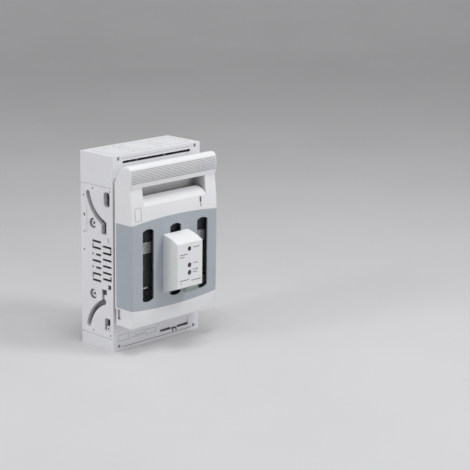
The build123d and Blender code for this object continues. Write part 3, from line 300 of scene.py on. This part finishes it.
SPLITTER = metal("arc_plate", (0.42, 0.43, 0.45), rough=(0.35, 0.5), brushed=(10, 1, 1))
BOARD = circuit_board()
RED = lamp_lens("lamp_red", (0.09, 0.004, 0.010))
GREEN = lamp_lens("lamp_green", (0.010, 0.085, 0.050))
PANE = window_pane()
LABEL = printed_label()

# The look of each node, by the start of its name
LOOKS = {
    "base_housing": COVER, "top_terminal_cover": COVER, "bottom_terminal_cover": COVER,
    "lid_frame": WHITE, "lid_panel": GREY, "fuse_carrier": DARK, "window": PANE,
    "fuse_body": CERAMIC, "fuse_end_plates": SILVER, "fuse_blades": SILVER,
    "contact_jaw": SILVER, "terminal_bar": SILVER, "contact_rivets": ZINC, "jaw_spring": ZINC,
    "terminal_bolts": ZINC, "terminal_nuts": ZINC, "cover_screws": ZINC, "hinge_pins": ZINC,
    "splitter_plates": SPLITTER, "monitor_cover": MONITOR, "monitor_back": MONITOR,
    "monitor_board": BOARD, "led_red": RED, "led_green": GREEN, "test_button": BUTTON,
    "plug_socket": PLUG, "terminal_plug": PLUG, "plug_screws": ZINC,
}


def dress_nodes():
    for name, node in NODES.items():
        look = next(look for start, look in LOOKS.items() if name.startswith(start))
        node.data.materials.clear()
        node.data.materials.append(look)


# Soft edges on the mouldings

BEVEL_WIDTHS = {
    "base_housing": 0.35, "top_terminal_cover": 0.45, "bottom_terminal_cover": 0.45,
    "lid_frame": 0.35, "lid_panel": 0.25, "fuse_carrier": 0.3, "monitor_cover": 0.25,
    "terminal_plug": 0.2, "plug_socket": 0.2,
}
BEVEL_SEGMENTS = 2
BEVEL_ANGLE = math.radians(40)


def soften_edges():
    for name, width in BEVEL_WIDTHS.items():
        bevel = NODES[name].modifiers.new("edges", "BEVEL")
        bevel.width = width * MM
        bevel.segments = BEVEL_SEGMENTS
        bevel.limit_method = "ANGLE"
        bevel.angle_limit = BEVEL_ANGLE
        bevel.use_clamp_overlap = True
        bevel.harden_normals = False


# Pieces made here, all of which move with the lid

CORNER_POINTS = 4
SOFT_RIM = 0.5
INNER_CORNER = 0.95


def rounded(left, right, low, high, radius):
    """Corner points of a rounded rectangle in (x, z)."""
    points = []
    middles = (
        (right - radius, high - radius), (left + radius, high - radius),
        (left + radius, low + radius), (right - radius, low + radius),
    )
    for quarter, (x, z) in enumerate(middles):
        for step in range(CORNER_POINTS):
            turn = math.radians(90 * quarter + 90 / (CORNER_POINTS - 1) * step)
            points.append((x + radius * math.cos(turn), z + radius * math.sin(turn)))
    return points


def add_ring(build, points):
    """A ring of vertices through points in the part's frame."""
    return [build.verts.new([place * MM for place in point]) for point in points]


def bridge(build, near, far):
    """A band of faces between two rings with as many points."""
    for index in range(len(near)):
        follow = (index + 1) % len(near)
        build.faces.new((near[index], near[follow], far[follow], far[index]))


def add_piece(build, name, look):
    """Makes an object of a finished bmesh; it moves with the lid."""
    bmesh.ops.recalc_face_normals(build, faces=build.faces[:])
    mesh = bpy.data.meshes.new(name)
    build.to_mesh(mesh)
    build.free()
    piece = bpy.data.objects.new(name, mesh)
    bpy.context.scene.collection.objects.link(piece)
    mesh.materials.append(look)
    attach(piece, "lid")


def sheets(name, fields, face, proud, look, edge=0.3):
    """Thin rounded fields lying on a front face, with a softened rim.

    Fields are (left, right, low, high), and edge is the corners' share of the shorter side."""
    build = bmesh.new()
    soft = proud * SOFT_RIM
    for left, right, low, high in fields:
        radius = min(right - left, high - low) * edge
        outer = rounded(left, right, low, high, radius)
        inner = rounded(left + soft, right - soft, low + soft, high - soft, radius * INNER_CORNER)
        rear, rim, front = [
            add_ring(build, [(x, y, z) for x, z in outline])
            for outline, y in ((outer, face + proud), (outer, face - soft), (inner, face - proud))
        ]
        bridge(build, rear, rim)
        bridge(build, rim, front)
        build.faces.new(front)
        build.faces.new(list(reversed(rear)))
    add_piece(build, name, look)


# Print on the monitor: left, right and height of each line

INK = 0.05
INK_HEIGHT = 1.35
MONITOR_SEED = 5
MONITOR_LINES = (
    (6.5, 19.5, 25.5),
    (-22.0, -5.0, 16.5),
    (-22.0, -12.0, 12.6),
    (8.0, 16.0, 0.6),
    (6.0, 17.0, -9.6),
    (6.5, 16.0, -13.6),
    (-22.0, -2.0, -24.0),
    (-19.5, -15.5, -28.2),
    (3.0, 23.0, -26.4),
)
WORD_LENGTHS = (1.8, 4.4)
WORD_SPACES = (0.5, 0.8)
SHORTEST_WORD = 1.2


def line_of_words(left, right, z, height, dice):
    """Short bars of uneven length in a row, standing for a line of print."""
    fields = []
    x = left
    while x < right - SHORTEST_WORD:
        end = min(right, x + dice.uniform(*WORD_LENGTHS))
        if right - end < SHORTEST_WORD:
            end = right
        fields.append((x, end, z - height / 2, z + height / 2))
        x = end + dice.uniform(*WORD_SPACES)
    return fields


def monitor_print():
    dice = random.Random(MONITOR_SEED)
    fields = []
    for left, right, z in MONITOR_LINES:
        fields += line_of_words(left, right, z, INK_HEIGHT, dice)
    sheets("monitor_print", fields, MONITOR_FRONT, INK, PRINT)


# Paper labels on the fuse links

PAPER = 0.15
LABEL_HALF = 18.5
LABEL_HEIGHTS = (17.2, 33.8)
LABEL_PRINT_HALF = 16.5
LABEL_FIELD_WIDTH = 7.5
LABEL_FIELD_HEIGHTS = (24.6, 32.2)
LABEL_FIELD_GAP = 2.0
LABEL_FIRST_LINE = 32.0
LABEL_LINE_PITCH = 2.2
LABEL_LINE_COUNT = 7
LABEL_INK_HEIGHT = 0.9
LABEL_SEED = 20


def fuse_labels():
    """A paper label on each fuse link's front, with lines of print and a plain field."""
    for number, x in enumerate(POLE_MIDDLES, start=1):
        paper = [(x - LABEL_HALF, x + LABEL_HALF, *LABEL_HEIGHTS)]
        sheets(f"fuse_label_{number}", paper, FUSE_FRONT, PAPER, LABEL, edge=0.05)
        dice = random.Random(LABEL_SEED + number)
        left = x - LABEL_PRINT_HALF
        right = x + LABEL_PRINT_HALF
        field_end = left + LABEL_FIELD_WIDTH
        fields = [(left, field_end, *LABEL_FIELD_HEIGHTS)]
        for line in range(LABEL_LINE_COUNT):
            z = LABEL_FIRST_LINE - line * LABEL_LINE_PITCH
            start = field_end + LABEL_FIELD_GAP if z > LABEL_FIELD_HEIGHTS[0] else left
            fields += line_of_words(start, right, z, LABEL_INK_HEIGHT, dice)
        sheets(f"fuse_print_{number}", fields, FUSE_FRONT - PAPER, INK, PRINT, edge=0.2)


# Collars round the monitor's button and lamps

BEZEL_PLAY = 0.1
BEZEL_WIDTH = 1.2
BEZEL_PROUD = 0.35
BEZEL_SIDES = 40


def bezels():
    """A dark collar round the button and both lamps, with a rounded front."""
    build = bmesh.new()
    for node in ("test_button", "led_red", "led_green"):
        low, high = (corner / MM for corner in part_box(node))
        middle = (low + high) / 2
        inner = (high.x - low.x) / 2 + BEZEL_PLAY
        outer = inner + BEZEL_WIDTH
        face = MONITOR_FRONT
        proud = BEZEL_PROUD
        profile = (
            (inner, face), (inner, face - proud * 0.7), (inner + proud * 0.4, face - proud),
            (outer - proud, face - proud), (outer - proud * 0.3, face - proud * 0.6), (outer, face),
        )
        turns = [math.tau * step / BEZEL_SIDES for step in range(BEZEL_SIDES)]
        rings = []
        for radius, y in profile:
            rings.append(add_ring(build, [
                (middle.x + radius * math.cos(turn), y, middle.z + radius * math.sin(turn)) for turn in turns
            ]))
        for near, far in zip(rings, rings[1:] + rings[:1]):
            bridge(build, near, far)
    add_piece(build, "bezels", BUTTON)


# Camera, fitted to the photograph's view

CAMERA_PLACE = (-1.5458, -1.7020, 0.6002)
CAMERA_TURN = -43.224
CAMERA_DROP = 14.202
PHOTO_WIDTH = 470
FOCAL_LENGTH_IN_PIXELS = 1494.488
COLUMN_AHEAD = 150
SENSOR_WIDTH = 36.0
FARTHEST_SEEN = 50.0


def add_camera():
    camera = bpy.data.objects.new("camera", bpy.data.cameras.new("camera"))
    bpy.context.scene.collection.objects.link(camera)
    camera.location = CAMERA_PLACE
    camera.rotation_euler = (math.radians(90 - CAMERA_DROP), 0, math.radians(CAMERA_TURN))
    camera.data.sensor_width = SENSOR_WIDTH
    camera.data.lens = FOCAL_LENGTH_IN_PIXELS / PHOTO_WIDTH * SENSOR_WIDTH
    camera.data.shift_x = (PHOTO_WIDTH / 2 - COLUMN_AHEAD) / PHOTO_WIDTH
    camera.data.clip_end = FARTHEST_SEEN
    bpy.context.scene.camera = camera


# Floor, backdrop and light, in metres

STAGE_HALF = 9.0
STAGE_TURN = -43.2
FLOOR_DEPTH = 3.0
CURVE_RADIUS = 2.0
CURVE_STEPS = 12
WALL_HEIGHT = 9.0


def stage_sheet():
    """A floor that curves up into a backdrop, turned to the camera."""
    floor_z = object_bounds()[0].z
    line = [(-STAGE_HALF, floor_z), (FLOOR_DEPTH, floor_z)]
    for step in range(1, CURVE_STEPS + 1):
        turn = math.radians(90 * step / CURVE_STEPS)
        across = CURVE_RADIUS * math.sin(turn)
        up = CURVE_RADIUS * (1 - math.cos(turn))
        line.append((FLOOR_DEPTH + across, floor_z + up))
    line.append((FLOOR_DEPTH + CURVE_RADIUS, floor_z + WALL_HEIGHT))
    build = bmesh.new()
    rows = [[build.verts.new((x, y, z)) for x in (-STAGE_HALF, STAGE_HALF)] for y, z in line]
    for low, high in zip(rows, rows[1:]):
        build.faces.new((low[0], low[1], high[1], high[0]))
    mesh = bpy.data.meshes.new("backdrop")
    build.to_mesh(mesh)
    build.free()
    for face in mesh.polygons:
        face.use_smooth = True
    sheet = bpy.data.objects.new("backdrop", mesh)
    bpy.context.scene.collection.objects.link(sheet)
    sheet.rotation_euler = (0, 0, math.radians(STAGE_TURN))
    shader = Shader("backdrop")
    shader.colour(shader.ramp(shader.noise(scale=3.0), (0.60, 0.60, 0.61), (0.63, 0.63, 0.64)))
    shader.set(Roughness=0.8)
    mesh.materials.append(shader.material)


LAMP_TARGET = Vector((0.0, -0.05, 0.0))
LAMPS = (
    # name, place, side of the square, watts
    ("key", (0.7, -1.35, 1.55), 0.5, 11.5),
    ("top", (-0.2, -0.4, 1.9), 0.7, 13.5),
    ("fill", (-2.0, 0.3, 0.8), 0.5, 11.0),
    ("low", (0.9, -2.1, 0.55), 0.6, 6.0),
)
WORLD_LIGHT = 0.48


def add_lamps():
    """Soft square lamps, each turned to the part."""
    for name, place, side, watts in LAMPS:
        light = bpy.data.objects.new(name, bpy.data.lights.new(name, "AREA"))
        light.data.shape = "SQUARE"
        light.data.size = side
        light.data.energy = watts
        light.location = place
        light.rotation_mode = "QUATERNION"
        light.rotation_quaternion = (LAMP_TARGET - Vector(place)).to_track_quat("-Z", "Y")
        bpy.context.scene.collection.objects.link(light)


def add_world():
    """An even white surrounding."""
    world = bpy.data.worlds.new("world")
    bpy.context.scene.world = world
    world.use_nodes = True
    background = world.node_tree.nodes["Background"]
    background.inputs["Color"].default_value = (1.0, 1.0, 1.0, 1.0)
    background.inputs["Strength"].default_value = WORLD_LIGHT


dress_nodes()
monitor_print()
fuse_labels()
bezels()
add_camera()
stage_sheet()
add_lamps()
add_world()
bpy.context.scene.view_settings.view_transform = "Standard"
soften_edges()
